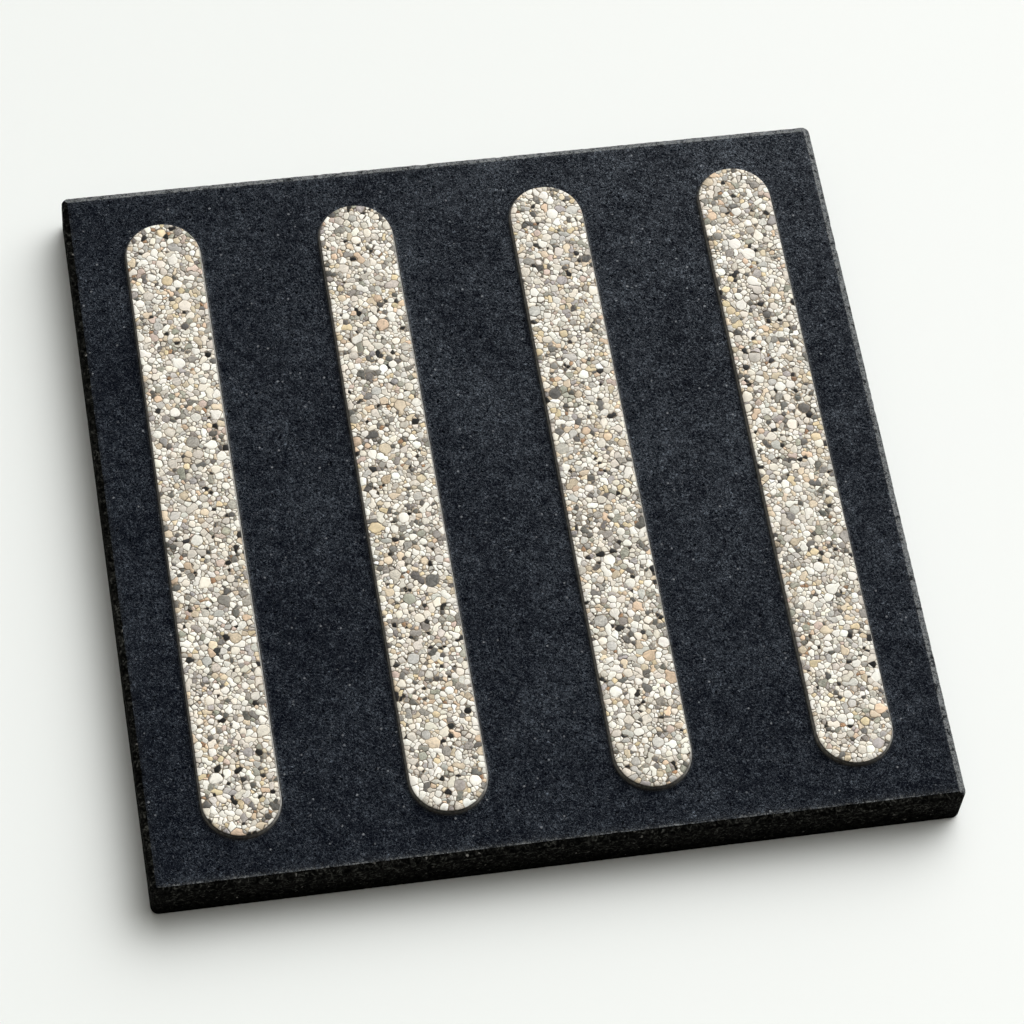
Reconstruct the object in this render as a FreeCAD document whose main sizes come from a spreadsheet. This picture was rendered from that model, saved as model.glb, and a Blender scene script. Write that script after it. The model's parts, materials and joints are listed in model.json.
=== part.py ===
import FreeCAD, Part
import os

# Tactile paving slab: a square dark concrete slab with four raised guide bars
# of light exposed-aggregate concrete, each bedded in a recess of the slab.
# Millimetres, +Z up. The origin is the centre of the flat underside; the bars
# run along Y.

os.makedirs("parts", exist_ok=True)
doc = FreeCAD.newDocument("tactile_paving_slab")

# ---------------------------------------------------------------- dimensions
sheet = doc.addObject("Spreadsheet::Sheet", "Dimensions")
sheet.Label = "Dimensions"
DIMS = [
    ("slab_side", 300.0, "plan side of the square slab"),
    ("slab_thick", 18.0, "underside to the ground top face"),
    ("corner_radius", 3.0, "vertical corners, in plan"),
    ("arris_width", 2.4, "top arris, measured inwards"),
    ("arris_drop", 0.8, "top arris, measured down"),
    ("bar_count", 4, "guide bars, side by side along X"),
    ("bar_pitch", 75.7, "centre to centre of neighbouring bars"),
    ("bar_width", 29.6, "bar and its recess at the slab's top face"),
    ("bar_length", 265.4, "over the round ends, at the slab's top face"),
    ("bar_bed", 6.0, "depth of the recess below the top face"),
    ("bar_rise", 2.0, "bar above the slab's top face"),
    ("flank_run", 0.6, "how far the sloping flank leans in"),
    ("flank_height", 1.8, "height of the sloping flank"),
]
for row, (alias, value, note) in enumerate(DIMS, start=1):
    sheet.set("A%d" % row, alias)
    sheet.set("B%d" % row, str(value))
    sheet.setAlias("B%d" % row, alias)
    sheet.set("C%d" % row, note)
doc.recompute()

V = FreeCAD.Vector


def origin_plane(body, role):
    for feature in body.Origin.OriginFeatures:
        if feature.Role == role:
            return feature
    raise RuntimeError("no plane " + role)


def plan_sketch(body, name, height):
    """A sketch on the body's own XY plane, lifted to a height given as an expression."""
    sketch = body.newObject("Sketcher::SketchObject", name)
    sketch.AttachmentSupport = [(origin_plane(body, "XY_Plane"), "")]
    sketch.MapMode = "FlatFace"
    sketch.setExpression("AttachmentOffset.Base.z", height)
    return sketch


def add_square(sketch, side):
    """A square centred on the sketch's origin, its side bound to an expression."""
    import Sketcher
    a = 50.0
    pts = [V(-a, -a, 0), V(a, -a, 0), V(a, a, 0), V(-a, a, 0)]
    for i in range(4):
        sketch.addGeometry(Part.LineSegment(pts[i], pts[(i + 1) % 4]), False)
    for i in range(4):
        sketch.addConstraint(Sketcher.Constraint("Coincident", i, 2, (i + 1) % 4, 1))
    for i, kind in enumerate(("Horizontal", "Vertical", "Horizontal", "Vertical")):
        sketch.addConstraint(Sketcher.Constraint(kind, i))
    # opposite corners are symmetric about the origin
    sketch.addConstraint(Sketcher.Constraint("Symmetric", 0, 1, 1, 2, -1, 1))
    wide = sketch.addConstraint(Sketcher.Constraint("DistanceX", 0, 1, 0, 2, 2 * a))
    deep = sketch.addConstraint(Sketcher.Constraint("DistanceY", 1, 1, 1, 2, 2 * a))
    sketch.setExpression("Constraints[%d]" % wide, side)
    sketch.setExpression("Constraints[%d]" % deep, side)


def add_stadium(sketch, centre_x, width, length):
    """A bar outline along Y with full round ends, centred at (centre_x, 0)."""
    import Sketcher
    r, s, c = 14.0, 110.0, 5.0
    left = sketch.addGeometry(Part.LineSegment(V(c - r, s, 0), V(c - r, -s, 0)), False)
    low = sketch.addGeometry(Part.ArcOfCircle(
        Part.Circle(V(c, -s, 0), V(0, 0, 1), r), 3.141592653589793, 6.283185307179586), False)
    right = sketch.addGeometry(Part.LineSegment(V(c + r, -s, 0), V(c + r, s, 0)), False)
    high = sketch.addGeometry(Part.ArcOfCircle(
        Part.Circle(V(c, s, 0), V(0, 0, 1), r), 0.0, 3.141592653589793), False)
    sketch.addConstraint(Sketcher.Constraint("Tangent", left, 2, low, 1))
    sketch.addConstraint(Sketcher.Constraint("Tangent", low, 2, right, 1))
    sketch.addConstraint(Sketcher.Constraint("Tangent", right, 2, high, 1))
    sketch.addConstraint(Sketcher.Constraint("Tangent", high, 2, left, 1))
    sketch.addConstraint(Sketcher.Constraint("Vertical", left))
    sketch.addConstraint(Sketcher.Constraint("Equal", low, high))
    rad = sketch.addConstraint(Sketcher.Constraint("Radius", low, r))
    # the low end's centre, held by two distances that never change sign:
    # from the origin down to it, and from it to the sketch's X through the offset
    down = sketch.addConstraint(Sketcher.Constraint("DistanceY", low, 3, -1, 1, s))
    up = sketch.addConstraint(Sketcher.Constraint("DistanceY", -1, 1, high, 3, s))
    over = sketch.addConstraint(Sketcher.Constraint("DistanceX", -1, 1, low, 3, c))
    sketch.setExpression("Constraints[%d]" % rad, "(%s) / 2" % width)
    sketch.setExpression("Constraints[%d]" % down, "((%s) - (%s)) / 2" % (length, width))
    sketch.setExpression("Constraints[%d]" % up, "((%s) - (%s)) / 2" % (length, width))
    sketch.setExpression("Constraints[%d]" % over, centre_x)


def edges_where(shape, test):
    return ["Edge%d" % (i + 1) for i, e in enumerate(shape.Edges) if test(e)]


D = {alias: value for alias, value, _ in DIMS}
first_bar = "(1 - Dimensions.bar_count) / 2 * Dimensions.bar_pitch"

# ---------------------------------------------------------------- slab body
slab = doc.addObject("PartDesign::Body", "slab_body")
slab.Label = "slab_body"

outline = plan_sketch(slab, "slab_outline", "0")
add_square(outline, "Dimensions.slab_side")
block = slab.newObject("PartDesign::Pad", "slab_block")
block.Profile = outline
block.setExpression("Length", "Dimensions.slab_thick")
doc.recompute()

corners = slab.newObject("PartDesign::Fillet", "slab_corners")
corners.Base = (block, edges_where(block.Shape, lambda e: abs(
    e.Vertexes[0].Point.z - e.Vertexes[-1].Point.z) > 1.0))
corners.setExpression("Radius", "Dimensions.corner_radius")
doc.recompute()

top_z = D["slab_thick"]
arris = slab.newObject("PartDesign::Chamfer", "slab_arris")
arris.ChamferType = "Two distances"
arris.Base = (corners, edges_where(corners.Shape, lambda e: all(
    abs(v.Point.z - top_z) < 1e-6 for v in e.Vertexes)))
arris.setExpression("Size", "Dimensions.arris_width")
arris.setExpression("Size2", "Dimensions.arris_drop")
doc.recompute()


def plan_reach(shape, z):
    """Half width of the section of a shape at a height."""
    wires = shape.slice(V(0, 0, 1), z)
    return max(w.BoundBox.XMax for w in wires)


# the wider of the two arris sizes lies in the top face
if plan_reach(arris.Shape, top_z - 0.01) > D["slab_side"] / 2 - (
        D["arris_width"] + D["arris_drop"]) / 2:
    arris.FlipDirection = True
    doc.recompute()

whole = arris.Shape.Volume
recess_outline = plan_sketch(slab, "recess_outline", "Dimensions.slab_thick")
add_stadium(recess_outline, "0", "Dimensions.bar_width", "Dimensions.bar_length")
recess_outline.setExpression("AttachmentOffset.Base.x", first_bar)
recess = slab.newObject("PartDesign::Pocket", "bar_recess")
recess.Profile = recess_outline
recess.setExpression("Length", "Dimensions.bar_bed")
doc.recompute()
if recess.Shape.isNull() or recess.Shape.Volume > whole - 1.0:
    recess.Reversed = True
    doc.recompute()

recesses = slab.newObject("PartDesign::LinearPattern", "bar_recesses")
recesses.Originals = [recess]
recesses.Direction = (recess_outline, ["H_Axis"])
recesses.setExpression("Length", "(Dimensions.bar_count - 1) * Dimensions.bar_pitch")
recesses.setExpression("Occurrences", "Dimensions.bar_count")
slab.Tip = recesses
doc.recompute()

# ---------------------------------------------------------------- guide bars
bars = []
for n in range(1, int(D["bar_count"]) + 1):
    bar = doc.addObject("PartDesign::Body", "guide_bar_%d" % n)
    bar.Label = "guide_bar_%d" % n
    outline = plan_sketch(bar, "bar_outline_%d" % n, "0")
    add_stadium(outline, "0", "Dimensions.bar_width", "Dimensions.bar_length")
    pad = bar.newObject("PartDesign::Pad", "bar_block_%d" % n)
    pad.Profile = outline
    pad.setExpression("Length", "Dimensions.bar_bed + Dimensions.bar_rise")
    doc.recompute()
    high = pad.Shape.BoundBox.ZMax
    flank = bar.newObject("PartDesign::Chamfer", "bar_flank_%d" % n)
    flank.ChamferType = "Two distances"
    flank.Base = (pad, edges_where(pad.Shape, lambda e: all(
        abs(v.Point.z - high) < 1e-6 for v in e.Vertexes)))
    flank.setExpression("Size", "Dimensions.flank_run")
    flank.setExpression("Size2", "Dimensions.flank_height")
    doc.recompute()
    if plan_reach(flank.Shape, high - 0.01) < D["bar_width"] / 2 - (
            D["flank_run"] + D["flank_height"]) / 2:
        flank.FlipDirection = True
        doc.recompute()
    bar.Tip = flank
    bar.setExpression("Placement.Base.x", "%s + %d * Dimensions.bar_pitch" % (first_bar, n - 1))
    bar.setExpression("Placement.Base.z", "Dimensions.slab_thick - Dimensions.bar_bed")
    bars.append(bar)

doc.recompute()

# ---------------------------------------------------------------- tests
for obj in doc.Objects:
    if "Invalid" in obj.State or "Error" in obj.State:
        raise RuntimeError("%s is in state %s" % (obj.Name, obj.State))

nodes = [slab] + bars
for body in nodes:
    shape = body.Shape
    if shape.isNull() or not shape.isValid() or len(shape.Solids) != 1:
        raise RuntimeError("bad shape in " + body.Label)

pi = 3.141592653589793
stadium = D["bar_width"] * (D["bar_length"] - D["bar_width"]) + pi * D["bar_width"] ** 2 / 4
lost = whole - slab.Shape.Volume
if abs(lost - D["bar_count"] * stadium * D["bar_bed"]) > 1.0:
    raise RuntimeError("the recesses took %.1f mm3" % lost)
for body in bars:
    if body.Shape.common(slab.Shape).Volume > 1e-3:
        raise RuntimeError(body.Label + " overlaps the slab")
    box = body.Shape.BoundBox
    print("%s x %.2f..%.2f y %.2f..%.2f z %.2f..%.2f top half width %.2f" % (
        body.Label, box.XMin, box.XMax, box.YMin, box.YMax, box.ZMin, box.ZMax,
        plan_reach(body.Shape, box.ZMax - 0.001) - body.Placement.Base.x))
box = slab.Shape.BoundBox
print("slab_body x %.2f..%.2f y %.2f..%.2f z %.2f..%.2f volume %.0f top reach %.2f" % (
    box.XMin, box.XMax, box.YMin, box.YMax, box.ZMin, box.ZMax, slab.Shape.Volume,
    plan_reach(slab.Shape, D["slab_thick"] - 0.001)))

for body in nodes:
    body.Shape.exportStep("parts/%s.step" % body.Label)
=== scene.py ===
import json
import math

import bmesh
import bpy
import numpy as np
from mathutils import Matrix, Vector, geometry, kdtree

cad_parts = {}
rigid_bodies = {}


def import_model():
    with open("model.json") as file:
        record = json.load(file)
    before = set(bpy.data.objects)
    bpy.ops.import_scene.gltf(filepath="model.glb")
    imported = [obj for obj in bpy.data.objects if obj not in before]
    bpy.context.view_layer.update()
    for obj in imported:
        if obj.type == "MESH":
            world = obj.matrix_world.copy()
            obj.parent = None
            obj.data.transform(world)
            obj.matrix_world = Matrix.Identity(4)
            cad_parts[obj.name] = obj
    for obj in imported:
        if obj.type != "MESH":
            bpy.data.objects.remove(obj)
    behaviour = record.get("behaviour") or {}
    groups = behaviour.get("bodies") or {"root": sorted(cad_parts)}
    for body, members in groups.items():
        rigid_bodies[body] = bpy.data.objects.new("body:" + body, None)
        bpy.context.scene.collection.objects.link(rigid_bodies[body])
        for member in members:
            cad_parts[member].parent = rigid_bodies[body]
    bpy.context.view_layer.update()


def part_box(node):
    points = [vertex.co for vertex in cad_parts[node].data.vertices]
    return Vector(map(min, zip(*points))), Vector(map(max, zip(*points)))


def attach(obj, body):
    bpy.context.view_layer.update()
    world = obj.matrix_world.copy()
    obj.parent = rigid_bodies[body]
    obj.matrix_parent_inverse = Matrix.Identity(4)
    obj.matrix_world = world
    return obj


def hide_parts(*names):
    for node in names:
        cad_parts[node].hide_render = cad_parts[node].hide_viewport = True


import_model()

# Square dark concrete slab with four raised guide bars of ground, exposed
# aggregate. The meshes are worked out in millimetres and stored in metres.
MM = 0.001


slab_lo, slab_hi = [[v / MM for v in c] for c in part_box("slab_body")]
HALF = slab_hi[0]                 # half the plan side
TOP = slab_hi[2]                  # ground top face of the slab
CORNER = 3.0                      # vertical corners, in plan
BAR_NODES = ["guide_bar_%d" % n for n in (1, 2, 3, 4)]
BARS = []
for node in BAR_NODES:
    lo, hi = [[v / MM for v in c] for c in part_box(node)]
    BARS.append(((lo[0] + hi[0]) / 2, (hi[0] - lo[0]) / 2, (hi[1] - lo[1]) / 2, lo[2], hi[2]))
FLANK_RUN = 0.6


# ------------------------------------------------------------------ camera
def place_camera():
    data = bpy.data.cameras.new("camera")
    data.sensor_fit = "HORIZONTAL"
    data.sensor_width = 36.0
    data.lens = 142.98
    data.clip_start = 0.05
    data.clip_end = 20.0
    cam = bpy.data.objects.new("camera", data)
    bpy.context.scene.collection.objects.link(cam)
    x = Vector((0.98494515, -0.15997423, 0.06550801))
    y = Vector((0.10757899, 0.86386451, 0.49210250))
    z = Vector((-0.13531376, -0.47764669, 0.86806902))
    rot = Matrix((x, y, z)).transposed().to_4x4()
    cam.matrix_world = Matrix.Translation(Vector((-0.2045424, -0.7445358, 1.3507506))) @ rot
    bpy.context.scene.camera = cam


place_camera()


# ------------------------------------------------------------------- noise
def _hash(ix, iy, iz, seed):
    h = (ix * 374761393 + iy * 668265263 + iz * 2147483647 + seed * 1274126177) & 0xFFFFFFFF
    h = ((h ^ (h >> 13)) * 1274126177) & 0xFFFFFFFF
    h = ((h ^ (h >> 16)) * 2246822519) & 0xFFFFFFFF
    return ((h ^ (h >> 15)) & 0xFFFFFF) / float(0xFFFFFF)


def noise(p, size, seed):
    """Smooth value noise, -1 to 1, at points p (n, 3), with cells of a size in mm."""
    q = p / size + 1000.0
    i = np.floor(q).astype(np.int64)
    f = q - i
    f = f * f * f * (f * (f * 6 - 15) + 10)
    out = 0.0
    for dx in (0, 1):
        for dy in (0, 1):
            for dz in (0, 1):
                w = ((f[:, 0] if dx else 1 - f[:, 0]) * (f[:, 1] if dy else 1 - f[:, 1])
                     * (f[:, 2] if dz else 1 - f[:, 2]))
                out = out + w * _hash(i[:, 0] + dx, i[:, 1] + dy, i[:, 2] + dz, seed)
    return out * 2 - 1


def fractal(p, size, seed, octaves=3, gain=0.55):
    total, amp, norm = 0.0, 1.0, 0.0
    for k in range(octaves):
        total = total + amp * noise(p, size / 2 ** k, seed + 17 * k)
        norm += amp
        amp *= gain
    return total / norm


# --------------------------------------------------------------- mesh parts
class Build:
    """Vertices and faces of one piece, in mm, with per-vertex values."""

    def __init__(self):
        self.verts = []
        self.faces = []
        self.count = 0

    def add(self, pts):
        pts = np.asarray(pts, float)
        first = self.count
        self.verts.append(pts)
        self.count += len(pts)
        return list(range(first, first + len(pts)))

    def all(self):
        return np.concatenate(self.verts)

    def band(self, low, high):
        """Quads between two rings of the same length, low below or outside high."""
        n = len(low)
        for i in range(n):
            j = (i + 1) % n
            self.faces.append((low[i], low[j], high[j], high[i]))


def rounded_square(half, radius, side_n, corner_n):
    """Counter-clockwise plan points of a rounded square; the count depends only on n."""
    pts = []
    flat = half - radius
    for k in range(4):
        a = k * math.pi / 2
        c, s = math.cos(a), math.sin(a)
        local = [(half, -flat + 2 * flat * i / side_n) for i in range(side_n)]
        local += [(flat + radius * math.cos(t), flat + radius * math.sin(t))
                  for t in [math.pi / 2 * i / corner_n for i in range(corner_n)]]
        pts += [(x * c - y * s, x * s + y * c) for x, y in local]
    return np.array(pts)


def stadium(cx, a, b, side_n, arc_n):
    """Counter-clockwise plan points of a bar outline: half width a, half length b."""
    s = b - a
    pts = [(a, -s + 2 * s * i / side_n) for i in range(side_n)]
    pts += [(a * math.cos(t), s + a * math.sin(t))
            for t in [math.pi * i / arc_n for i in range(arc_n)]]
    pts += [(-a, s - 2 * s * i / side_n) for i in range(side_n)]
    pts += [(a * math.cos(t), -s + a * math.sin(t))
            for t in [math.pi + math.pi * i / arc_n for i in range(arc_n)]]
    out = np.array(pts)
    out[:, 0] += cx
    return out


def stadium_gap(x, y, cx, a, b):
    """Signed distance outside a bar outline."""
    s = b - a
    dy = np.maximum(np.abs(y) - s, 0.0)
    return np.hypot(x - cx, dy) - a


def sheet(outer, holes, spacing, jitter, clear, rng):
    """Triangles that fill a plan outline round its holes. Returns points and triangles:
    the outline's points come first, then each hole's, then the inner ones."""
    lo, hi = outer.min(0), outer.max(0)
    rows = int((hi[1] - lo[1]) / (spacing * 0.866)) + 1
    cols = int((hi[0] - lo[0]) / spacing) + 2
    gx, gy = np.meshgrid(np.arange(cols), np.arange(rows))
    x = lo[0] + (gx + 0.5 * (gy % 2)) * spacing
    y = lo[1] + gy * spacing * 0.866
    x = (x + rng.uniform(-jitter, jitter, x.shape)).ravel()
    y = (y + rng.uniform(-jitter, jitter, y.shape)).ravel()
    keep = (np.abs(x) < hi[0] - clear) & (np.abs(y) < hi[1] - clear)
    reach = hi[0] - clear
    keep &= np.abs(x) + np.abs(y) < 2 * reach - 0.6
    for cx, a, b in holes[1]:
        keep &= stadium_gap(x, y, cx, a, b) > clear
    inner = np.stack([x[keep], y[keep]], 1)
    loops = [outer] + holes[0]
    pts = np.concatenate(loops + [inner])
    edges, first = [], 0
    for loop in loops:
        n = len(loop)
        edges += [(first + i, first + (i + 1) % n) for i in range(n)]
        first += n
    vs, es, fs, ov, oe, of_ = geometry.delaunay_2d_cdt(
        [Vector((float(p[0]), float(p[1]))) for p in pts], edges, [], 0, 1e-7)
    origin = [o[0] for o in ov]
    tris = []
    for f in fs:
        t = [origin[i] for i in f]
        (ax, ay), (bx, by), (cx_, cy) = pts[t[0]], pts[t[1]], pts[t[2]]
        area = (bx - ax) * (cy - ay) - (cx_ - ax) * (by - ay)
        if abs(area) < 1e-5:
            continue
        mx, my = (ax + bx + cx_) / 3, (ay + by + cy) / 3
        if any(stadium_gap(mx, my, cx, a, b) < 0 for cx, a, b in holes[1]):
            continue
        tris.append(tuple(t) if area > 0 else (t[0], t[2], t[1]))
    return pts, tris


def to_object(name, verts_mm, faces, smooth=True):
    mesh = bpy.data.meshes.new(name)
    mesh.from_pydata((np.asarray(verts_mm) * MM).tolist(), [], faces)
    mesh.validate(clean_customdata=False)
    mesh.polygons.foreach_set("use_smooth", [smooth] * len(mesh.polygons))
    mesh.update()
    obj = bpy.data.objects.new(name, mesh)
    bpy.context.scene.collection.objects.link(obj)
    return obj


# --------------------------------------------------------------------- slab
SIDE_N, CORNER_N = 290, 5
# arris and side, from the top face down: inset from the side plane, height
ARRIS = [(2.45, TOP), (2.25, TOP - 0.13), (1.50, TOP - 0.34), (0.70, TOP - 0.60),
         (0.10, TOP - 0.82), (0.0, TOP - 1.15)]
SIDE_Z = [TOP - 2.10 - 1.17 * i for i in range(13)]
FOOT = [(0.0, 0.75), (0.12, 0.28), (0.45, 0.0)]


def make_slab():
    rng = np.random.default_rng(20417)
    b = Build()
    lip = 0.62                                  # the top sheet stops this far off the recess wall
    holes, hole_shapes = [], []
    for cx, a, bb, z0, z1 in BARS:
        holes.append(stadium(cx, a + lip, bb + lip, 232, 46))
        hole_shapes.append((cx, a + lip, bb + lip))
    outer = rounded_square(HALF - ARRIS[0][0], 0.75, SIDE_N, CORNER_N)
    pts, tris = sheet(outer, (holes, hole_shapes), 1.12, 0.27, 0.62, rng)
    n_ring = len(outer)

    # top face: open, finely pitted
    x, y = pts[:, 0], pts[:, 1]
    p = np.stack([x, y, np.full(len(x), TOP)], 1)
    z = -0.030 - 0.030 * fractal(p, 7.0, 5) - 0.035 * noise(p, 2.3, 11)
    z -= np.abs(rng.normal(0, 0.040, len(x)))
    pit = rng.random(len(x)) < 0.035
    z[pit] -= rng.uniform(0.08, 0.24, pit.sum())
    # the bed is slightly dished beside the bars and falls towards the arris
    edge = np.minimum(HALF - np.abs(x), HALF - np.abs(y)) - ARRIS[0][0]
    z -= 0.03 * np.exp(-np.clip(edge, 0, None) / 0.9)
    z = np.minimum(z, 0.0)
    p[:, 2] = TOP + z
    top = b.add(p)
    b.faces += [tuple(t) for t in tris]
    ring_top = top[:n_ring]

    # ragged arris and sides, always inside the plan size
    rings = []
    for inset, height in ARRIS[1:] + [(0.0, h) for h in SIDE_Z] + FOOT:
        radius = max(CORNER - inset, 0.75)
        q = rounded_square(HALF - inset, radius, SIDE_N, CORNER_N)
        rings.append((q, height, inset))
    prev = ring_top
    out_ids = []
    for q, height, inset in rings:
        n = len(q)
        base = np.stack([q[:, 0], q[:, 1], np.full(n, height)], 1)
        # outward direction in plan
        core = np.clip(q, -(HALF - CORNER), HALF - CORNER)
        d = q - core
        length = np.maximum(np.hypot(d[:, 0], d[:, 1]), 1e-9)
        d = d / length[:, None]
        near_top = math.exp(-max(TOP - height, 0.0) / 1.6)
        grain = 0.5 + 0.5 * noise(base, 1.7, 23)
        rough = 0.5 + 0.5 * fractal(base * np.array([1.0, 1.0, 2.0]), 5.0, 31)
        inward = 0.10 * grain + 0.13 * rough + np.abs(rng.normal(0, 0.030, n))
        chip = np.clip(fractal(base * np.array([1.0, 1.0, 0.4]), 3.4, 47) - 0.34, 0, None)
        inward = inward + near_top * (0.07 * grain + 1.15 * chip)
        small = np.clip(noise(base, 1.25, 59) - 0.45, 0, None)
        inward = inward + 0.22 * small
        inward = np.clip(inward - 0.17, 0.0, 0.85)
        if height <= 0.01:
            inward *= 0.5
        base[:, :2] -= d * inward[:, None]
        sink = near_top * (0.06 * rng.random(n) + 0.30 * chip)
        if 0.3 < height < TOP - 0.05:
            base[:, 2] += rng.uniform(-0.10, 0.10, n) * (0.3 + 0.7 * near_top)
        base[:, 2] = np.clip(base[:, 2] - (sink if height > TOP - 3 else 0), 0.0, TOP)
        if height <= 0.01:
            base[:, 2] = 0.0
        ids = b.add(base)
        b.band(ids, prev)
        prev = ids
        out_ids.append(ids)

    # underside: flat, with shallow air holes
    foot = rings[-1][0]
    upts, utris = sheet(foot, ([], []), 3.6, 0.9, 1.2, rng)
    inner = upts[len(foot):]
    up = np.stack([inner[:, 0], inner[:, 1], np.zeros(len(inner))], 1)
    up[:, 2] = np.clip(0.05 + 0.09 * fractal(up, 14.0, 71) + rng.normal(0, 0.03, len(up)), 0, 0.3)
    ids = b.add(up)
    remap = list(prev) + ids
    b.faces += [(remap[t[0]], remap[t[2]], remap[t[1]]) for t in utris]

    # recesses: a fine lip, a joint line, then the wall and the bed under the bar
    first = n_ring
    for loop, (cx, a, bb, z0, z1) in zip(holes, BARS):
        n = len(loop)
        prev = top[first:first + n]
        first += n
        for off, z in ((0.40, TOP + 0.03), (0.22, TOP + 0.02), (0.10, TOP - 0.16), (0.02, TOP - 0.22), (0.02, z0)):
            q = stadium(cx, a + off, bb + off, 232, 46)
            base = np.stack([q[:, 0], q[:, 1], np.full(n, z)], 1)
            if off > 0.15:
                wob = 0.05 * noise(base, 2.0, 83)
                s = bb - a
                d = np.stack([q[:, 0] - cx, q[:, 1] - np.clip(q[:, 1], -s, s)], 1)
                d /= np.hypot(d[:, 0], d[:, 1])[:, None]
                base[:, :2] += d * wob[:, None]
                base[:, 2] += 0.02 * noise(base, 1.3, 89) + rng.uniform(-0.012, 0.012, n)
            ids = b.add(base)
            # the ring goes inwards and down, so the wall faces the bar
            b.faces.extend((prev[i], prev[(i + 1) % n], ids[(i + 1) % n], ids[i]) for i in range(n))
            prev = ids
        b.faces.append(tuple(prev))

    v = b.all()
    obj = to_object("slab_concrete", v, b.faces)

    # per-vertex wear and painted highlight: 1 on the arris, fading into the top and down the side; the pale line
    # along the top edge is wear, the pale right and back slopes are mostly painted highlight
    inset = np.minimum(HALF - np.abs(v[:, 0]), HALF - np.abs(v[:, 1]))
    drop = TOP - v[:, 2]
    # the right and back arrises, which face the light, are painted paler than the front and left ones: painted
    # highlight over some wear
    x, y = v[:, 0], v[:, 1]
    across = np.abs(x) > np.abs(y)
    lit_arris = np.where(across, x > 0, y > 0)
    on_sheet = np.arange(len(v)) < len(pts)
    line_wear = np.where(across, np.where(x > 0, 0.20, 0.24), np.where(y > 0, 0.20, 0.78))
    on_top = np.exp(-np.clip(inset - 2.5, 0, None) / 0.85) * line_wear
    slope_highlight = np.exp(-np.clip(drop - 0.85, 0, None) / 0.45) * lit_arris * (inset < 3.4)
    wear_and_highlight = np.where(on_sheet, on_top, slope_highlight)
    # the lip of each recess is a pale grey line, palest on its right, where a painted highlight is added on the side
    # facing the light
    lip_and_highlight = np.zeros(len(v))
    for cx, a, bb, z0, z1 in BARS:
        gap = np.abs(stadium_gap(v[:, 0], v[:, 1], cx, a, bb) - 0.32)
        share = np.where(v[:, 0] > cx, 1.0, 0.40) * (np.abs(v[:, 1]) < bb - a)
        share = np.maximum(share, 0.35)
        lip_and_highlight = np.maximum(lip_and_highlight, np.exp(-(gap / 0.20) ** 2) * (drop < 0.2) * share)
    under = (v[:, 2] < 0.35).astype(float)
    # on the front and left the arris, facing away from the light, is painted as dark as the side under it: painted
    # shade
    side = np.where(lit_arris, np.clip((drop - 0.9) / 0.6, 0, 1), (~on_sheet) & (inset < 3.4))
    side = np.where(v[:, 2] < 0.5, 1.0, side)
    for name, data in (("wear_and_highlight", wear_and_highlight), ("lip", lip_and_highlight), ("side", side), ("under", under)):
        att = obj.data.attributes.new(name, "FLOAT", "POINT")
        att.data.foreach_set("value", np.asarray(data, np.float32))
    return obj


# --------------------------------------------------------------------- bars
def srgb(r, g, b):
    out = []
    for c in (r, g, b):
        c = c / 255.0
        out.append(c / 12.92 if c <= 0.04045 else ((c + 0.055) / 1.055) ** 2.4)
    return out


# stone colours: share, colour, spread, how large such stones get (1 = any)
STONES = [
    (0.325, srgb(236, 231, 221), 0.05, 1.0),      # white
    (0.170, srgb(228, 219, 204), 0.07, 1.0),      # cream
    (0.125, srgb(204, 196, 184), 0.09, 1.0),      # pale warm grey
    (0.080, srgb(192, 188, 180), 0.09, 1.0),      # pale grey
    (0.070, srgb(150, 144, 136), 0.12, 1.0),      # mid grey
    (0.030, srgb(156, 154, 140), 0.10, 1.0),      # greenish grey
    (0.025, srgb(168, 161, 158), 0.09, 1.0),      # lilac grey
    (0.070, srgb(208, 191, 166), 0.08, 1.0),      # beige
    (0.028, srgb(217, 198, 162), 0.07, 0.9),      # honey
    (0.026, srgb(214, 188, 161), 0.08, 1.0),      # peach
    (0.012, srgb(156, 122, 92), 0.10, 0.35),      # brown
    (0.016, srgb(200, 179, 166), 0.07, 0.7),      # pink
    (0.052, srgb(99, 96, 91), 0.16, 1.0),         # dark grey
    (0.036, srgb(40, 39, 38), 0.22, 0.50),        # black
]
MATRIX = srgb(135, 122, 105)
# painted shade: the near-black of the sunk pores
PORE_SHADE = srgb(34, 31, 28)
SIZES = [(22, 1.90, 2.60), (105, 1.35, 1.90), (310, 1.00, 1.35), (640, 0.68, 1.00), (1500, 0.38, 0.68)]


def scatter(a, b, rng):
    """Centres and radii of the stones of one bar, large ones first."""
    xs, ys, rs = np.zeros(4000), np.zeros(4000), np.zeros(4000)
    n = 0
    for count, small, large in SIZES:
        for _ in range(count):
            r = small + (large - small) * rng.random() ** 1.4
            for _try in range(45):
                x = rng.uniform(-a, a)
                y = rng.uniform(-b, b)
                if stadium_gap(x, y, 0.0, a, b) > -0.30 * r:
                    continue
                d = np.hypot(xs[:n] - x, ys[:n] - y)
                if n and np.any(d < 0.83 * (rs[:n] + r)):
                    continue
                xs[n], ys[n], rs[n] = x, y, r
                n += 1
                break
    return xs[:n].copy(), ys[:n].copy(), rs[:n].copy()


def clip(poly, nx, ny, c, tag=None):
    """Keeps the part of a convex polygon where nx*x + ny*y <= c. Each corner is
    (x, y, what lies across the edge that starts there)."""
    dist = [nx * p[0] + ny * p[1] - c for p in poly]
    if max(dist) <= 0:
        return poly
    out = []
    for i in range(len(poly)):
        j = (i + 1) % len(poly)
        di, dj = dist[i], dist[j]
        if di < 0 or (di == 0 and dj <= 0):
            out.append(poly[i])
        elif di == 0:
            out.append((poly[i][0], poly[i][1], tag))
        if (di < 0 < dj) or (dj < 0 < di):
            t = di / (di - dj)
            out.append((poly[i][0] + t * (poly[j][0] - poly[i][0]),
                        poly[i][1] + t * (poly[j][1] - poly[i][1]),
                        tag if di < 0 else poly[i][2]))
    return out


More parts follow.
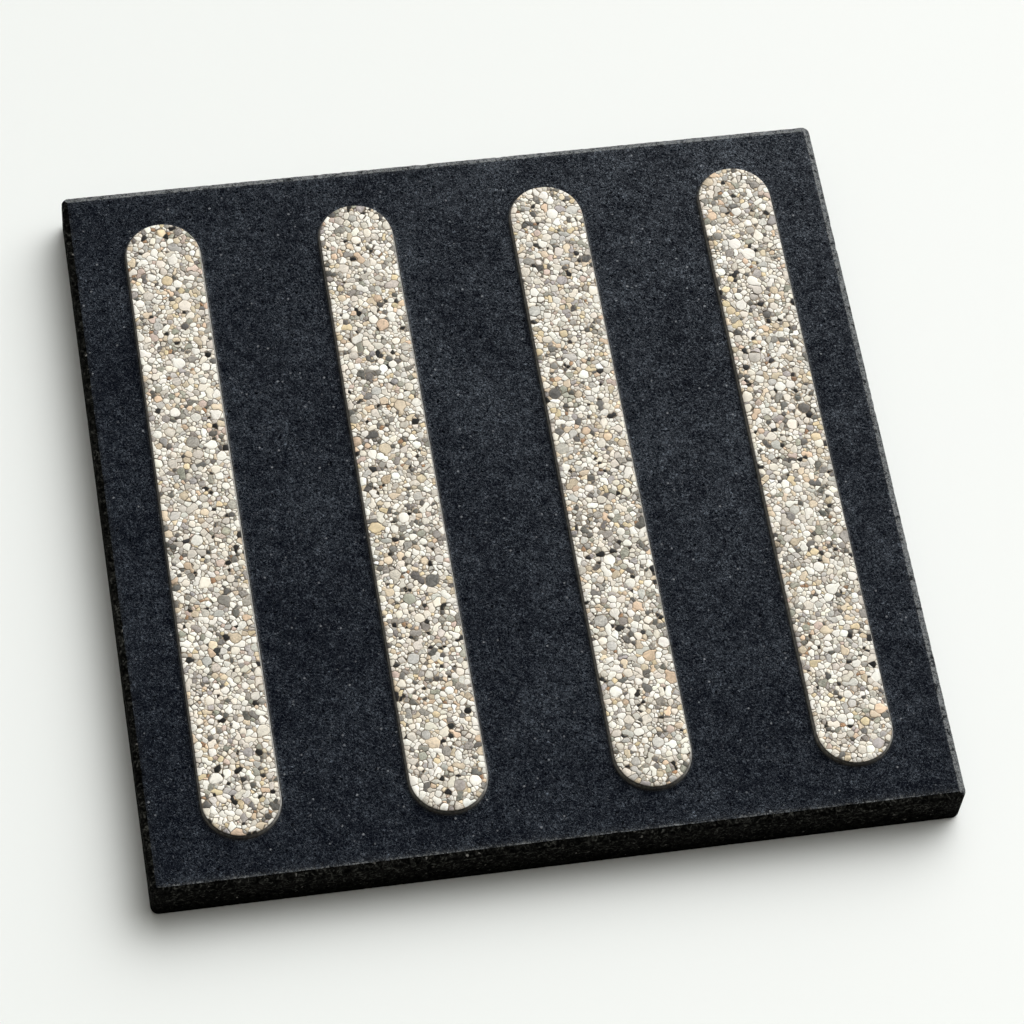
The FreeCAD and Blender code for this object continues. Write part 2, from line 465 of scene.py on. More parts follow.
def shrink_in(poly, gaps):
    """Moves each edge of a counter-clockwise outline inwards by its gap. None if it folds."""
    n = len(poly)
    lines = []
    for i in range(n):
        (x0, y0), (x1, y1) = poly[i][:2], poly[(i + 1) % n][:2]
        ex, ey = x1 - x0, y1 - y0
        length = math.hypot(ex, ey)
        if length < 1e-6:
            return None
        ex, ey = ex / length, ey / length
        lines.append((x0 - ey * gaps[i], y0 + ex * gaps[i], ex, ey))
    out = []
    for i in range(n):
        ax, ay, adx, ady = lines[i - 1]
        bx, by, bdx, bdy = lines[i]
        cross = adx * bdy - ady * bdx
        if abs(cross) < 0.08:
            out.append((0.5 * (bx + ax + adx * ((bx - ax) * adx + (by - ay) * ady)),
                        0.5 * (by + ay + ady * ((bx - ax) * adx + (by - ay) * ady))))
            continue
        t = ((bx - ax) * bdy - (by - ay) * bdx) / cross
        out.append((ax + t * adx, ay + t * ady))
    for i in range(n):
        (x0, y0), (x1, y1) = out[i], out[(i + 1) % n]
        if (x1 - x0) * lines[i][2] + (y1 - y0) * lines[i][3] <= 0.0:
            return None
    return out


def sees(poly, cx, cy):
    """True where every corner turns counter-clockwise about the point."""
    n = len(poly)
    for i in range(n):
        x0, y0 = poly[i][0] - cx, poly[i][1] - cy
        x1, y1 = poly[(i + 1) % n][0] - cx, poly[(i + 1) % n][1] - cy
        if x0 * y1 - x1 * y0 <= 1e-5:
            return False
    return True


def join_cells(pi, pj, i, j):
    """Outline of two neighbouring cells taken together, and the middle of their shared edge."""
    at_i = [k for k, p in enumerate(pi) if p[2] == j]
    at_j = [k for k, p in enumerate(pj) if p[2] == i]
    if len(at_i) != 1 or len(at_j) != 1:
        return None
    k, m = at_i[0], at_j[0]
    ring_i = pi[k + 1:] + pi[:k + 1]
    ring_j = pj[m + 1:] + pj[:m + 1]
    a, b = ring_i[-1], ring_i[0]
    joined = ring_i[:-1] + [(a[0], a[1], ring_j[0][2])] + ring_j[1:-1]
    return joined, ((a[0] + b[0]) / 2, (a[1] + b[1]) / 2), math.hypot(a[0] - b[0], a[1] - b[1])


def round_off(poly, passes, cut):
    for _ in range(passes):
        out = []
        for i in range(len(poly)):
            (x0, y0), (x1, y1) = poly[i][:2], poly[(i + 1) % len(poly)][:2]
            out.append((x0 + cut * (x1 - x0), y0 + cut * (y1 - y0)))
            out.append((x1 - cut * (x1 - x0), y1 - cut * (y1 - y0)))
        poly = out
    return poly


def area_centre(poly):
    a = cx = cy = 0.0
    for i in range(len(poly)):
        (x0, y0), (x1, y1) = poly[i][:2], poly[(i + 1) % len(poly)][:2]
        w = x0 * y1 - x1 * y0
        a += w
        cx += (x0 + x1) * w
        cy += (y0 + y1) * w
    a *= 0.5
    if abs(a) < 1e-9:
        return 0.0, 0.0, 0.0
    return a, cx / (6 * a), cy / (6 * a)


def zip_rings(outer, inner, po, pi, centre, faces):
    """Triangles between two counter-clockwise rings that both see the centre."""
    def turn(p):
        return math.atan2(p[1] - centre[1], p[0] - centre[0])
    ao = [turn(p) for p in po]
    ai = [turn(p) for p in pi]
    start = ao[0]
    k0 = min(range(len(ai)), key=lambda k: (ai[k] - start) % (2 * math.pi))
    ao = [(v - start) % (2 * math.pi) for v in ao] + [2 * math.pi]
    ai = [(ai[(k0 + k) % len(ai)] - start) % (2 * math.pi) for k in range(len(ai))]
    ai.append(ai[0] + 2 * math.pi)
    i = j = 0
    n, m = len(outer), len(inner)
    while i < n or j < m:
        o0, o1 = outer[i % n], outer[(i + 1) % n]
        q0, q1 = inner[(k0 + j) % m], inner[(k0 + j + 1) % m]
        if j >= m or (i < n and ao[i + 1] <= ai[j + 1]):
            faces.append((o0, o1, q0))
            i += 1
        else:
            faces.append((o0, q1, q0))
            j += 1


def cells_of(xs, ys, rs, a, b, edge):
    """Power cell of each stone inside the bar outline, each edge with the stone across it."""
    n = len(xs)
    tree = kdtree.KDTree(n)
    for i in range(n):
        tree.insert((xs[i], ys[i], 0.0), i)
    tree.balance()
    biggest = rs.max()
    walls = []
    for i in range(len(edge)):
        (x0, y0), (x1, y1) = edge[i], edge[(i + 1) % len(edge)]
        ex, ey = x1 - x0, y1 - y0
        length = math.hypot(ex, ey)
        nx, ny = ey / length, -ex / length
        walls.append((nx, ny, nx * x0 + ny * y0))
    result = {}
    for i in range(n):
        x, y, r = float(xs[i]), float(ys[i]), float(rs[i])
        reach = 3.2 + r
        poly = [(x - reach, y - reach, -9), (x + reach, y - reach, -9),
                (x + reach, y + reach, -9), (x - reach, y + reach, -9)]
        near = tree.find_range((x, y, 0.0), r + biggest + 2.6)
        near.sort(key=lambda t: t[2] - rs[t[1]])
        for co, j, dist in near:
            if j == i or dist < 1e-9:
                continue
            dx, dy = (xs[j] - x) / dist, (ys[j] - y) / dist
            k = (dist * dist + r * r - rs[j] * rs[j]) / (2 * dist)
            poly = clip(poly, dx, dy, dx * x + dy * y + k, j)
            if len(poly) < 3:
                break
        if len(poly) >= 3:
            for nx, ny, c in walls:
                poly = clip(poly, nx, ny, c, -1)
                if len(poly) < 3:
                    break
        if len(poly) >= 3:
            result[i] = poly
    return result


def make_bar(index, spec):
    cx, a_foot, b_foot, z_low, z_high = spec
    rng = np.random.default_rng(7100 + 13 * index)
    a, b = a_foot - FLANK_RUN, b_foot - FLANK_RUN
    xs, ys, rs = scatter(a, b, rng)
    edge = stadium(0.0, a, b, 1, 44)
    edge = [tuple(map(float, p)) for p in edge]
    cells = cells_of(xs, ys, rs, a, b, edge)
    face_top = z_high - 0.06
    shares = np.array([s[0] for s in STONES])

    verts, faces, stone_of = [], [], []
    weld = {}
    pits = set()                     # cell corners that are open pores
    on_edge_of = {}                  # outline corner -> its stone

    def shared(x, y, z):
        """Cell corners are met by several stones, so they are stored once."""
        kx, ky = int(round(x * 2000)), int(round(y * 2000))
        for ox in (0, -1, 1):
            for oy in (0, -1, 1):
                hit = weld.get((kx + ox, ky + oy))
                if hit is not None:
                    return hit
        weld[(kx, ky)] = len(verts)
        if float(stadium_gap(x, y, 0.0, a, b)) < -0.25 and rng.random() < 0.25:
            pits.add(len(verts))
            z -= rng.uniform(0.10, 0.34)
        verts.append((x, y, z))
        return len(verts) - 1

    def prepare(outline, centre, size, wide):
        """The stone's own outline inside its cell, or None where there is no room."""
        gap = 0.040 + 0.150 * rng.random() ** 2 + 0.025 * min(size, 1.6)
        gaps = [0.04 if p[2] == -1 else gap * rng.uniform(0.35, 1.9) for p in outline]
        if wide:
            inset = shrink_in(outline, gaps)
            if inset is None:
                return None
        else:
            inset = list(outline)
            n = len(outline)
            for k in range(n):
                (x0, y0), (x1, y1) = outline[k][:2], outline[(k + 1) % n][:2]
                length = math.hypot(x1 - x0, y1 - y0)
                if length < 1e-7:
                    continue
                nx, ny = (y1 - y0) / length, (x0 - x1) / length
                inset = clip(inset, nx, ny, nx * x0 + ny * y0 - gaps[k])
                if len(inset) < 3:
                    return None
            # broken stones have a facet or two of their own
            area, mx, my = area_centre(inset)
            for _ in range(rng.choice([0, 1, 2, 3], p=[0.22, 0.32, 0.27, 0.19])):
                t = rng.uniform(0, 2 * math.pi)
                nx, ny = math.cos(t), math.sin(t)
                far = max(nx * (q[0] - mx) + ny * (q[1] - my) for q in inset)
                inset = clip(inset, nx, ny, nx * mx + ny * my + far * rng.uniform(0.62, 0.92))
                if len(inset) < 3:
                    return None
        slim = []
        for q in inset:
            if not slim or math.hypot(q[0] - slim[-1][0], q[1] - slim[-1][1]) > 0.10:
                slim.append(q)
        if len(slim) > 3 and math.hypot(slim[0][0] - slim[-1][0], slim[0][1] - slim[-1][1]) <= 0.10:
            slim.pop()
        if len(slim) < 3:
            return None
        area, mx, my = area_centre(slim)
        if area < 0.12:
            return None
        pebble = rng.random() < 0.08
        line = round_off(slim, 1, 0.25 if pebble else rng.uniform(0.04, 0.11))
        if pebble and area > 2.2:
            line = round_off(line, 1, 0.24)
        area, mx, my = area_centre(line)
        if centre is None:
            centre = (mx, my)
        return (line, area, centre) if sees(line, *centre) else None

    # some neighbours are one longer or bent stone
    order = list(cells)
    rng.shuffle(order)
    used, work = set(), []
    for i in order:
        if i in used:
            continue
        if rng.random() < 0.34:
            best = None
            for p in cells[i]:
                j = p[2]
                if j is None or j < 0 or j in used or j not in cells or rs[i] + rs[j] > 3.3:
                    continue
                made = join_cells(cells[i], cells[j], i, j)
                if made is None or made[2] < 0.55 * min(rs[i], rs[j]):
                    continue
                score = made[2] * rng.uniform(0.6, 1.4)
                if best is None or score > best[0]:
                    best = (score, j, made)
            if best is not None:
                j, (outline, centre, _) = best[1], best[2]
                if sees(outline, *centre):
                    ready = prepare(outline, centre, 0.5 * (rs[i] + rs[j]), True)
                    if ready is not None:
                        used.update((i, j))
                        work.append((outline, ready, math.sqrt(ready[1] / math.pi)))
                        continue
        used.add(i)
        work.append((cells[i], prepare(cells[i], None, rs[i], False), rs[i]))

    tints, grains, blends = [], [], []
    for outline_cell, ready, size in work:
        ids, keep = [], []
        for p in outline_cell:
            k = shared(p[0], p[1], face_top - 0.17)
            if not ids or (k != ids[-1] and k != ids[0]):
                ids.append(k)
                keep.append((verts[k][0], verts[k][1]))
        if len(ids) < 3:
            continue
        if ready is None:
            _, mx, my = area_centre(keep)
            verts.append((mx, my, face_top - 0.12))
            c = len(verts) - 1
            for k in range(len(ids)):
                faces.append((ids[k], ids[(k + 1) % len(ids)], c))
                stone_of.append(-1)
            continue
        outline, area, (mx, my) = ready
        # a ground stone: flat or slightly domed, with a worn edge, at its own slight tilt
        lift = rng.uniform(-0.030, 0.030)
        dome = 0.012 + 0.022 * rng.random()
        tx, ty = rng.normal(0, 0.020, 2)
        shrink = 1.0 - min(0.30, 0.13 / math.sqrt(area / math.pi) + 0.05)

        def height(x, y, extra):
            z = face_top + lift + extra + tx * (x - mx) + ty * (y - my)
            return min(z, z_high)

        o_ids = []
        for x, y in outline:
            on_edge_of[len(verts)] = len(tints)
            verts.append((x, y, height(x, y, -0.050)))
            o_ids.append(len(verts) - 1)
        i_ids = []
        for x, y in outline:
            qx, qy = mx + shrink * (x - mx), my + shrink * (y - my)
            verts.append((qx, qy, height(qx, qy, 0.6 * dome)))
            i_ids.append(len(verts) - 1)
        verts.append((mx, my, height(mx, my, dome)))
        c = len(verts) - 1

        before = len(faces)
        zip_rings(ids, o_ids, keep, outline, (mx, my), faces)
        stone_of += [-1] * (len(faces) - before)
        which = len(tints)
        m = len(o_ids)
        for k in range(m):
            j = (k + 1) % m
            faces.append((o_ids[k], o_ids[j], i_ids[j]))
            faces.append((o_ids[k], i_ids[j], i_ids[k]))
            faces.append((i_ids[k], i_ids[j], c))
            stone_of += [which] * 3
        # colour: the darkest and brownest stones stay small
        for _try in range(6):
            kind = rng.choice(len(STONES), p=shares / shares.sum())
            if size <= STONES[kind][3] * 2.8:
                break
        base = np.array(STONES[kind][1])
        spread = STONES[kind][2]
        bright = math.exp(rng.normal(0, 1.5 * spread))
        tints.append(np.clip(base * bright * np.exp(rng.normal(0, 0.12 * spread, 3)), 0.0, 0.93))
        grains.append(rng.random())
        # in some stones the edge runs softly into the matrix
        blends.append(rng.random() ** 1.5 * (0.85 if STONES[kind][1][0] > 0.3 else 0.35))

    # flank, joint and bed: the open edge of the mosaic is carried down
    seen = {}
    for f in faces:
        for k in range(3):
            e = (f[k], f[(k + 1) % 3])
            seen[e] = seen.get(e, 0) + 1
    rim = {e[0]: e[1] for e in seen if (e[1], e[0]) not in seen}
    start = min(rim)
    loop = [start]
    while rim[loop[-1]] != start and len(loop) <= len(rim):
        loop.append(rim[loop[-1]])
    closed = len(loop) == len(rim)
    s = b - a
    plan = np.array([[verts[k][0], verts[k][1]] for k in loop])
    d = np.stack([plan[:, 0], plan[:, 1] - np.clip(plan[:, 1], -s, s)], 1)
    d /= np.hypot(d[:, 0], d[:, 1])[:, None]
    prev = loop
    n_top, n_mosaic = len(faces), len(verts)
    # painted light and shade on the flank, ring by ring: the long sides are painted lighter than the round ends, and
    # the rings are darker at the top edge and darkest at the foot as painted shade
    flank_light_and_shade = 0.12 + 0.30 * d[:, 0] ** 2
    ring_tone = [(v, 0.5 * t) for v, t in zip(loop, flank_light_and_shade)]
    for off, z, shade in ((0.07, face_top - 0.42, 0.45), (0.30, z_high - 1.05, 1.0),
                          (0.585, z_high - 1.80, 0.75), (0.585, z_low + 0.01, 0.40)):
        q = plan + d * off
        base = np.stack([q[:, 0], q[:, 1], np.full(len(q), z)], 1)
        if off < 0.5:
            base[:, 2] += 0.05 * noise(base, 1.1, 97 + index)
            base[:, :2] -= d * (0.03 * rng.random(len(q)))[:, None]
        first = len(verts)
        verts.extend(map(tuple, base.tolist()))
        ids = list(range(first, first + len(q)))
        ring_tone += [(v, shade * t) for v, t in zip(ids, flank_light_and_shade)]
        for k in range(len(ids)):
            j = (k + 1) % len(ids)
            faces.append((prev[k], ids[k], ids[j], prev[j]))
        prev = ids
    faces.append(tuple(reversed(prev)))
    stone_of += [-2] * (len(faces) - n_top)

    v = np.array(verts)
    # the ground face is slightly rounded off towards the flank
    depth = -stadium_gap(v[:n_mosaic, 0], v[:n_mosaic, 1], 0.0, a, b)
    v[:n_mosaic, 2] -= 0.13 * np.clip(1.0 - depth / 1.3, 0.0, 1.0) ** 2
    v[:, 0] += cx
    name = "bar_mosaic_%d" % (index + 1)
    obj = to_object(name, v, faces)
    mesh = obj.data
    loops = np.zeros(len(mesh.polygons), np.int32)
    mesh.polygons.foreach_get("loop_total", loops)
    if len(mesh.polygons) != len(stone_of):
        print(name, "faces changed by validate:", len(stone_of), "->", len(mesh.polygons))
    # colours corner by corner. The matrix is lighter and darker in patches, painted black in its pores as the shade
    # inside them, and near a soft-edged stone it takes some of that stone's colour.
    table = np.array(tints)
    soft = np.array(blends)
    flat = np.stack([v[:, 0], v[:, 1], np.zeros(len(v))], 1)
    tone = np.exp(0.55 * fractal(flat, 5.0, 131 + index) + rng.normal(-0.05, 0.42, len(v)))
    matrix = np.array(MATRIX)[None, :] * tone[:, None]
    open_pores = np.array(sorted(pits))
    matrix[open_pores] = np.array(PORE_SHADE)[None, :] * rng.uniform(0.4, 2.4, len(open_pores))[:, None]
    edge_v = np.array(sorted(on_edge_of))
    edge_s = np.array([on_edge_of[k] for k in edge_v])
    matrix[edge_v] += (table[edge_s] - matrix[edge_v]) * soft[edge_s][:, None]
    shade = np.full(len(v), 0.03)
    for k, value in ring_tone:
        shade[k] = value
    uneven = np.exp(rng.normal(0, 0.05, len(v)))

    corner = np.zeros(len(mesh.loops), np.int32)
    mesh.loops.foreach_get("vertex_index", corner)
    which = np.repeat(np.array(stone_of), loops)
    tint = np.zeros((len(corner), 4), np.float32)
    grain = np.zeros(len(corner), np.float32)
    stone = which >= 0
    dull = 1.0 + 2.0 * (1.0 - table[:, 1])         # darker stones are more uneven
    tint[stone, :3] = np.clip(table[which[stone]] * uneven[corner[stone], None] ** dull[which[stone], None], 0, 0.95)
    tint[stone, 3] = 1.0
    grain[stone] = np.array(grains)[which[stone]]
    bed = which == -1
    tint[bed, :3] = np.clip(matrix[corner[bed]], 0, 0.95)
    tint[bed, 3] = 0.5
    # painted shade: the stones are darkened where the face turns down into the flank
    dim = np.ones(len(v))
    dim[:n_mosaic] = 0.70 + 0.30 * np.clip(depth / 0.55, 0.0, 1.0)
    # and the round front ends, facing away from the light, get a little more painted shade along their rim
    ahead = np.clip((a - b - v[:n_mosaic, 1]) / a, 0.0, 1.0)
    dim[:n_mosaic] *= 1.0 - 0.24 * ahead * np.clip(1.0 - (depth - 1.2) / 1.0, 0.0, 1.0)
    tint[:, :3] *= dim[corner][:, None]
    # the flank takes its painted light and shade
    rim_faces = which == -2
    tint[rim_faces, :3] = shade[corner[rim_faces], None] * np.array([1.0, 0.97, 0.91])
    att = mesh.attributes.new("tint", "FLOAT_COLOR", "CORNER")
    att.data.foreach_set("color", tint.ravel())
    att = mesh.attributes.new("grain", "FLOAT", "CORNER")
    att.data.foreach_set("value", grain)
    print(name, "stones", len(tints), "faces", len(faces), "rim closed", closed, "top", v[:, 2].max())
    return obj


# ---------------------------------------------------------------- materials
class Graph:
    def __init__(self, name):
        self.mat = bpy.data.materials.new(name)
        self.mat.use_nodes = True
        self.t = self.mat.node_tree
        self.t.nodes.clear()
        out = self.t.nodes.new("ShaderNodeOutputMaterial")
        self.shader = self.t.nodes.new("ShaderNodeBsdfPrincipled")
        self.t.links.new(self.shader.outputs[0], out.inputs[0])

    def node(self, kind, ins=None, **props):
        n = self.t.nodes.new(kind)
        for k, v in props.items():
            setattr(n, k, v)
        for k, v in (ins or {}).items():
            self.put(n.inputs[k], v)
        return n

    def put(self, socket, v):
        if isinstance(v, bpy.types.NodeSocket):
            self.t.links.new(v, socket)
        else:
            socket.default_value = v

    def coords(self):
        return self.node("ShaderNodeTexCoord").outputs["Object"]

    def noise(self, vec, scale, detail=3.0, rough=0.55, distort=0.0):
        return self.node("ShaderNodeTexNoise", {"Vector": vec, "Scale": scale, "Detail": detail,
                                                "Roughness": rough, "Distortion": distort}).outputs["Fac"]

    def cells(self, vec, scale, feature="F1", randomness=1.0):
        return self.node("ShaderNodeTexVoronoi", {"Vector": vec, "Scale": scale, "Randomness": randomness},
                         feature=feature)

    def ramp(self, fac, lo, hi, out_lo=0.0, out_hi=1.0):
        return self.node("ShaderNodeMapRange", {"Value": fac, "From Min": lo, "From Max": hi,
                                                "To Min": out_lo, "To Max": out_hi}).outputs["Result"]

    def math(self, op, a, b=0.0, clamp=False):
        return self.node("ShaderNodeMath", {0: a, 1: b}, operation=op, use_clamp=clamp).outputs[0]

    def mix(self, fac, a, b, blend="MIX"):
        n = self.node("ShaderNodeMix", data_type="RGBA", blend_type=blend)
        self.put(n.inputs["Factor"], fac)
        self.put(n.inputs[6], a)
        self.put(n.inputs[7], b)
        return n.outputs[2]

    def attr(self, name):
        return self.node("ShaderNodeAttribute", attribute_name=name)

    def red(self, colour):
        return self.node("ShaderNodeSeparateColor", {0: colour}).outputs[0]

    def bent(self, vec, scale, amount):
        """The coordinates pushed about by noise, so that cells lose their roundness."""
        n = self.node("ShaderNodeTexNoise", {"Vector": vec, "Scale": scale, "Detail": 1.0})
        off = self.node("ShaderNodeVectorMath", {0: n.outputs["Color"], 1: (0.5, 0.5, 0.5)},
                        operation="SUBTRACT").outputs[0]
        size = self.node("ShaderNodeVectorMath", {0: off, "Scale": 4.0 * amount}, operation="SCALE").outputs[0]
        return self.node("ShaderNodeVectorMath", {0: vec, 1: size}, operation="ADD").outputs[0]

    def mad(self, a, b, c):
        return self.node("ShaderNodeMath", {0: a, 1: b, 2: c}, operation="MULTIPLY_ADD").outputs[0]


def slab_material():
    g = Graph("dark_concrete")
    co = g.coords()
    wear_and_highlight = g.attr("wear_and_highlight").outputs["Fac"]
    lip = g.attr("lip").outputs["Fac"]
    side = g.attr("side").outputs["Fac"]

    # fine blue-black grain, drawn out into short threads, with broader clouds in it
    body = g.noise(co, 1450.0, 2.0, 0.65, 1.3)
    cloud = g.noise(co, 300.0, 2.0, 0.6)
    patch = g.noise(co, 36.0, 2.0, 0.6)
    swing = g.mad(body, 12.0, g.mad(cloud, 3.2, g.mad(patch, 1.9, -8.93)))
    level = g.math("EXPONENT", swing)
    # the dark is blue, and the pale grains are nearly neutral
    base = g.node("ShaderNodeCombineColor", {0: g.mad(level, 0.0054, 0.0003),
                                             1: g.mad(level, 0.0065, 0.0009),
                                             2: g.mad(level, 0.0082, 0.0036)}).outputs[0]

    # small grains of sand, a few of them bright
    sand = g.cells(g.bent(co, 900.0, 0.0005), 900.0)
    pick = g.red(sand.outputs["Color"])
    dot = g.ramp(sand.outputs["Distance"], 0.40, 0.20)
    pale = g.math("MULTIPLY", g.ramp(pick, 0.84, 1.0, 0.0, 0.9), dot)
    base = g.mix(pale, base, (0.070, 0.076, 0.088, 1))
    fleck = g.cells(co, 560.0)
    fpick = g.red(fleck.outputs["Color"])
    fdot = g.ramp(fleck.outputs["Distance"], 0.30, 0.18)
    bright = g.math("MULTIPLY", g.ramp(fpick, 0.948, 0.985), fdot)
    base = g.mix(bright, base, (0.165, 0.172, 0.185, 1))

    # open pores, painted near-black as the shade inside them
    pore = g.cells(g.bent(co, 700.0, 0.0006), 760.0)
    ppick = g.red(pore.outputs["Color"])
    pdot = g.math("MULTIPLY", g.ramp(ppick, 0.83, 0.96), g.ramp(pore.outputs["Distance"], 0.46, 0.22))
    base = g.mix(g.math("MULTIPLY", pdot, 0.85), base, (0.0014, 0.0017, 0.0024, 1))

    # worn arris, pale grains showing; on the right and back arris slopes this paleness is mostly painted highlight
    rub = g.noise(co, 1150.0, 2.0, 0.7, 1.0)
    grit = g.ramp(g.mad(wear_and_highlight, 0.22, rub), 0.62, 0.74)
    worn_and_lit_grit = g.math("MULTIPLY", grit, g.math("MULTIPLY", wear_and_highlight, 1.5, True))
    base = g.mix(g.math("MULTIPLY", wear_and_highlight, 0.40), base, (0.052, 0.054, 0.056, 1))
    base = g.mix(worn_and_lit_grit, base, (0.150, 0.153, 0.152, 1))
    # dark notches where the worn edge has broken out
    notch = g.ramp(g.noise(co, 330.0, 3.0, 0.70, 0.8), 0.545, 0.610)
    base = g.mix(g.math("MULTIPLY", notch, g.math("MULTIPLY", wear_and_highlight, 1.3, True)), base, (0.0060, 0.0062, 0.0066, 1))
    # the pale lip round each recess, with a painted highlight on its right side
    base = g.mix(g.math("MULTIPLY", lip, 0.85), base, (0.072, 0.070, 0.067, 1))

    # the sides are nearly black, with pale specks; painted shade makes them darkest at the foot and darker along the
    # top edge, and painted light makes the left side lighter
    sep = g.node("ShaderNodeSeparateXYZ", {0: co})
    brown = g.noise(co, 520.0, 3.0, 0.65, 1.4)
    streaks_and_shade = g.math("MINIMUM", g.math("EXPONENT", g.mad(brown, 14.0, -7.0)), 9.0)
    # painted shade: darker towards the foot
    streaks_and_shade = g.math("MULTIPLY", streaks_and_shade, g.ramp(sep.outputs["Z"], 0.0006, 0.0150, 0.12, 1.3))
    # painted light: the left side face is made lighter
    streaks_and_shade = g.math("MULTIPLY", streaks_and_shade, g.ramp(sep.outputs["X"], -0.1490, -0.1496, 1.0, 1.25))
    # painted shade: darker along the top edge of the sides, mostly the front and left arris
    streaks_and_shade = g.math("MULTIPLY", streaks_and_shade, g.ramp(sep.outputs["Z"], 0.0164, 0.0171, 1.0, 0.68))
    flank = g.node("ShaderNodeCombineColor", {0: g.math("MULTIPLY", streaks_and_shade, 0.0054),
                                              1: g.math("MULTIPLY", streaks_and_shade, 0.0054),
                                              2: g.math("MULTIPLY", streaks_and_shade, 0.0048)}).outputs[0]
    speck = g.cells(g.bent(co, 700.0, 0.0005), 420.0)
    spick = g.red(speck.outputs["Color"])
    sdot = g.math("MULTIPLY", g.ramp(spick, 0.86, 0.98), g.ramp(speck.outputs["Distance"], 0.24, 0.12))
    flank = g.mix(sdot, flank, (0.200, 0.192, 0.178, 1))
    # the side colour, with its painted shade, also covers the front and left arris
    base = g.mix(side, base, flank)
    # the underside, cast flat, is a dull dark grey
    bed_tone = g.ramp(g.noise(co, 60.0, 4.0, 0.65), 0.35, 0.65, 0.018, 0.038)
    bed = g.node("ShaderNodeCombineColor", {0: bed_tone, 1: g.mad(bed_tone, 1.04, 0.0),
                                            2: g.mad(bed_tone, 1.10, 0.0)}).outputs[0]
    # the air holes are painted darker as shade
    bed = g.mix(g.math("MULTIPLY", pdot, 0.7), bed, (0.0030, 0.0031, 0.0033, 1))
    base = g.mix(g.attr("under").outputs["Fac"], base, bed)

    rough = g.ramp(body, 0.3, 0.7, 0.54, 0.38)
    rough = g.math("SUBTRACT", rough, g.math("MULTIPLY", pale, 0.12))
    rough = g.math("ADD", rough, g.math("MULTIPLY", g.math("MAXIMUM", side, pdot), 0.40), True)
    h = g.math("MULTIPLY", body, 0.9)
    h = g.math("ADD", h, g.math("MULTIPLY", pale, 0.45))
    h = g.math("SUBTRACT", h, g.math("MULTIPLY", pdot, 1.1))
    h = g.math("ADD", h, g.math("MULTIPLY", g.ramp(sand.outputs["Distance"], 0.6, 0.1), 0.35))
    bump = g.node("ShaderNodeBump", {"Strength": 0.80, "Distance": 0.00020, "Height": h})
    # only the grains shine: the pores and the cut sides are dull
    gloss = g.math("MULTIPLY", level, 0.30, True)
    gloss = g.math("MULTIPLY", gloss, g.math("SUBTRACT", 1.0, pdot))
    gloss = g.math("MULTIPLY", gloss, g.ramp(side, 0.0, 1.0, 1.0, 0.03))
    g.put(g.shader.inputs["Base Color"], base)
    g.put(g.shader.inputs["Roughness"], rough)
    g.put(g.shader.inputs["Normal"], bump.outputs[0])
    g.shader.inputs["Specular IOR Level"].default_value = 0.28
    g.put(g.shader.inputs["Specular IOR Level"], gloss)
    g.shader.inputs["Specular Tint"].default_value = (0.80, 0.90, 1.0, 1.0)
    return g.mat


def bar_material():
    g = Graph("light_aggregate")
    co = g.coords()
    tint = g.attr("tint")
    grain = g.attr("grain").outputs["Fac"]
    kind = tint.outputs["Alpha"]                       # 1 stone, 0.5 matrix, 0 flank
    is_stone = g.ramp(kind, 0.7, 0.8)
    is_flank = g.ramp(kind, 0.3, 0.2)
    colour = tint.outputs["Color"]

    # veins and mottle inside the stones: strong in the grey ones, faint in the white
    fine = g.noise(co, 1700.0, 2.0, 0.6, 0.8)
    broad = g.noise(co, 620.0, 2.0, 0.6, 1.4)
    level = g.math("MAXIMUM", g.red(colour), 0.0)
    paleness = g.ramp(level, 0.25, 0.85, 1.0, 0.14)
    amount = g.math("MULTIPLY", g.math("MULTIPLY", is_stone, paleness), g.ramp(grain, 0.0, 1.0, 0.35, 1.0))
    mix = g.math("ADD", g.math("MULTIPLY", fine, 0.45), g.math("MULTIPLY", broad, 0.55))
    shade = g.ramp(mix, 0.36, 0.64, 0.42, 1.55)
    grey = g.node("ShaderNodeCombineColor", {0: shade, 1: shade, 2: shade}).outputs[0]
    mottled = g.mix(1.0, colour, grey, "MULTIPLY")
    colour = g.mix(amount, colour, mottled)

    # the matrix is sandy, and the flank's painted light and shade is mottled by noise
    sand = g.noise(co, 2400.0, 2.0, 0.6)
    speckle = g.ramp(sand, 0.34, 0.66, 0.45, 1.55)
    speckle = g.node("ShaderNodeCombineColor", {0: speckle, 1: speckle, 2: speckle}).outputs[0]
    is_matrix = g.math("SUBTRACT", g.math("SUBTRACT", 1.0, is_stone), is_flank, True)
    colour = g.mix(is_matrix, colour, g.mix(1.0, colour, speckle, "MULTIPLY"))
    flank_mottle = g.noise(co, 900.0, 3.0, 0.6)
    flank_mottle = g.ramp(flank_mottle, 0.36, 0.64, 0.55, 1.45)
    flank_mottle = g.node("ShaderNodeCombineColor", {0: flank_mottle, 1: flank_mottle, 2: flank_mottle}).outputs[0]
    colour = g.mix(is_flank, colour, g.mix(1.0, colour, flank_mottle, "MULTIPLY"))

    rough = g.ramp(grain, 0.0, 1.0, 0.38, 0.72)
    rough = g.math("ADD", rough, g.math("MULTIPLY", is_matrix, 0.25), True)
    h = g.math("ADD", g.math("MULTIPLY", fine, 0.6), g.math("MULTIPLY", g.math("MULTIPLY", sand, is_matrix), 1.2))
    bump = g.node("ShaderNodeBump", {"Strength": 0.35, "Distance": 0.00008, "Height": h})
    g.put(g.shader.inputs["Base Color"], colour)
    g.put(g.shader.inputs["Roughness"], rough)
    g.put(g.shader.inputs["Normal"], bump.outputs[0])
    g.shader.inputs["Specular IOR Level"].default_value = 0.40
    return g.mat


# ------------------------------------------------------------------- pieces
slab_mat = slab_material()
bar_mat = bar_material()

